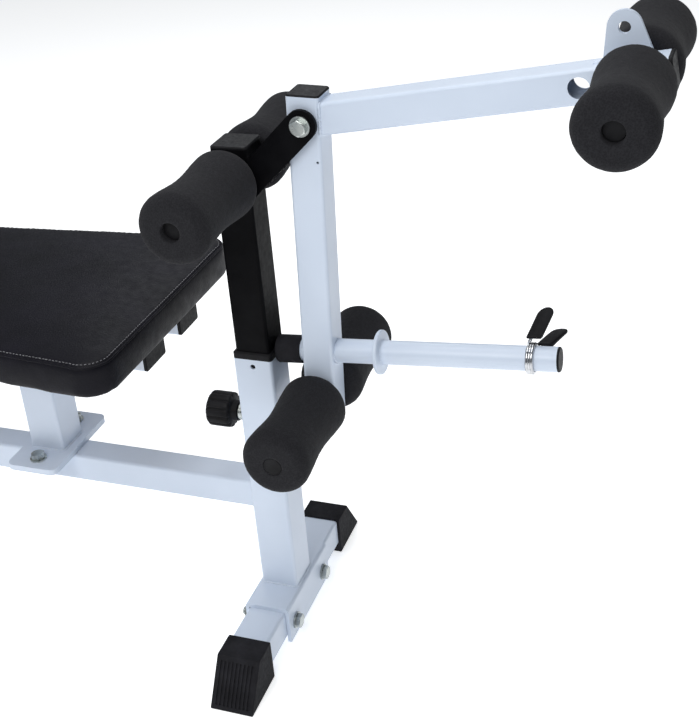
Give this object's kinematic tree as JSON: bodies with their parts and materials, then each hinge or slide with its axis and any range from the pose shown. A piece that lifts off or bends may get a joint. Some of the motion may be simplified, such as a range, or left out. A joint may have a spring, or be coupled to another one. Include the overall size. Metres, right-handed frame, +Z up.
{
  "type": "adjustable weight bench",
  "caption": "Steel-frame weight bench with tilting backrest, foam-roller leg developer, weight post with spring clip, and clamped height and backrest adjustments.",
  "frame": {"origin": "on the floor, under the middle of the bounding box", "axes": "+X along the bench towards the leg developer, +Y to the user-left side across the bench, +Z up"},
  "size_m": [1.7172, 0.3994, 0.8236],
  "materials": {
    "white_steel": "gloss",
    "black_steel": "satin",
    "zinc_steel": null,
    "chrome_steel": null,
    "black_plastic": "satin",
    "black_rubber": null,
    "foam": "matte",
    "leatherette": "satin",
    "plywood": null
  },
  "bodies": {
    "frame": {"foot_tubes": "white_steel", "foot_caps": "black_rubber", "foot_saddles": "white_steel", "saddle_bolts": "zinc_steel", "front_post": "white_steel", "post_collar": "black_plastic", "front_clamp_boss": "zinc_steel", "main_beam": "white_steel", "rear_post": "white_steel", "rear_post_plug": "black_plastic", "seat_post_plates": "white_steel", "seat_post": "white_steel", "seat_post_bolts": "zinc_steel", "seat_bracket": "white_steel", "seat_rails": "white_steel", "seat_rail_plugs": "black_plastic", "seat_board": "plywood", "seat_pad": "leatherette", "seat_screws": "zinc_steel", "hinge_plates": "white_steel", "rear_clamp_bolt": "zinc_steel"},
    "backrest": {"backrest_rails": "white_steel", "backrest_rail_plugs": "black_plastic", "backrest_hinge_sleeve": "zinc_steel", "backrest_hinge_bolt": "zinc_steel", "backrest_quadrant": "black_steel", "backrest_cross_plate": "white_steel", "backrest_board": "plywood", "backrest_pad": "leatherette", "backrest_screws": "zinc_steel"},
    "inner_post": {"inner_post": "black_steel", "inner_post_plug": "black_plastic", "fork_ears": "black_steel", "pivot_bolt": "zinc_steel"},
    "lever": {"lever": "white_steel", "lever_cap": "black_plastic", "lever_plugs": "black_plastic", "pivot_bush": "zinc_steel", "arm": "white_steel", "arm_tab": "white_steel", "weight_post": "white_steel", "stop_disc": "white_steel", "bumper": "black_rubber"},
    "knee_roller": {"knee_roller_bar": "zinc_steel", "knee_roller_foams": "foam", "knee_roller_plugs": "black_plastic"},
    "lower_roller": {"lower_roller_bar": "zinc_steel", "lower_roller_foams": "foam", "lower_roller_plugs": "black_plastic"},
    "arm_roller": {"arm_roller_bar": "zinc_steel", "arm_roller_foams": "foam", "arm_roller_plugs": "black_plastic"},
    "clip": {"clip_spring": "chrome_steel", "clip_grip": "black_plastic"},
    "clip_arm": {"clip_arm": "chrome_steel", "clip_arm_grip": "black_plastic"},
    "front_clamp_screw": {"front_clamp_screw": "zinc_steel"},
    "front_clamp_knob": {"front_clamp_knob": "black_plastic"},
    "rear_clamp_washer": {"rear_clamp_washer": "zinc_steel"},
    "rear_clamp_knob": {"rear_clamp_knob": "black_plastic"}
  },
  "joints": [
    {"name": "post_height", "type": "slide", "parent": "frame", "child": "inner_post", "axis": [0, 0, 1], "range_m": [0, 0.09]},
    {"name": "lever_swing", "type": "hinge", "parent": "inner_post", "child": "lever", "pos_m": [0.4724, 0, 0.701], "axis": [0, -1, 0], "range_deg": [0, 100]},
    {"name": "knee_roller_spin", "type": "hinge", "parent": "inner_post", "child": "knee_roller", "pos_m": [0.3814, 0, 0.635], "axis": [0, 1, 0], "continuous": true},
    {"name": "lower_roller_spin", "type": "hinge", "parent": "lever", "child": "lower_roller", "pos_m": [0.45849, 0, 0.35377], "axis": [0, 1, 0], "continuous": true},
    {"name": "arm_roller_spin", "type": "hinge", "parent": "lever", "child": "arm_roller", "pos_m": [0.81859, 0, 0.75944], "axis": [0, 1, 0], "continuous": true},
    {"name": "clip_slide", "type": "slide", "parent": "lever", "child": "clip", "axis": [0.9972, 0, 0.075], "range_m": [-0.16, 0.015]},
    {"name": "clip_squeeze", "type": "hinge", "parent": "clip", "child": "clip_arm", "pos_m": [0.71863, 0, 0.43234], "axis": [0.9972, 0, 0.075], "range_deg": [0, 20], "stiffness_Nm_per_rad": 1, "springref_deg": -17.19},
    {"name": "front_clamp_travel", "type": "slide", "parent": "frame", "child": "front_clamp_screw", "axis": [-1, 0, 0], "range_m": [0, 0.0045]},
    {"name": "front_clamp_turn", "type": "hinge", "parent": "front_clamp_screw", "child": "front_clamp_knob", "pos_m": [0.3214, 0, 0.311], "axis": [-1, 0, 0], "range_deg": [0, 1081]},
    {"name": "backrest_tilt", "type": "hinge", "parent": "frame", "child": "backrest", "pos_m": [-0.1786, 0, 0.4095], "axis": [0, 1, 0], "range_deg": [0, 70]},
    {"name": "rear_clamp_travel", "type": "slide", "parent": "frame", "child": "rear_clamp_washer", "axis": [0, -1, 0], "range_m": [0, 0.0045]},
    {"name": "rear_clamp_turn", "type": "hinge", "parent": "rear_clamp_washer", "child": "rear_clamp_knob", "pos_m": [-0.31955, -0.04, 0.3582], "axis": [0, -1, 0], "range_deg": [0, 1081]}
  ],
  "couplings": [
    {"joint": "front_clamp_turn", "follows": "front_clamp_travel", "rad_per_m": 4188.8},
    {"joint": "rear_clamp_turn", "follows": "rear_clamp_travel", "rad_per_m": 4188.8}
  ]
}
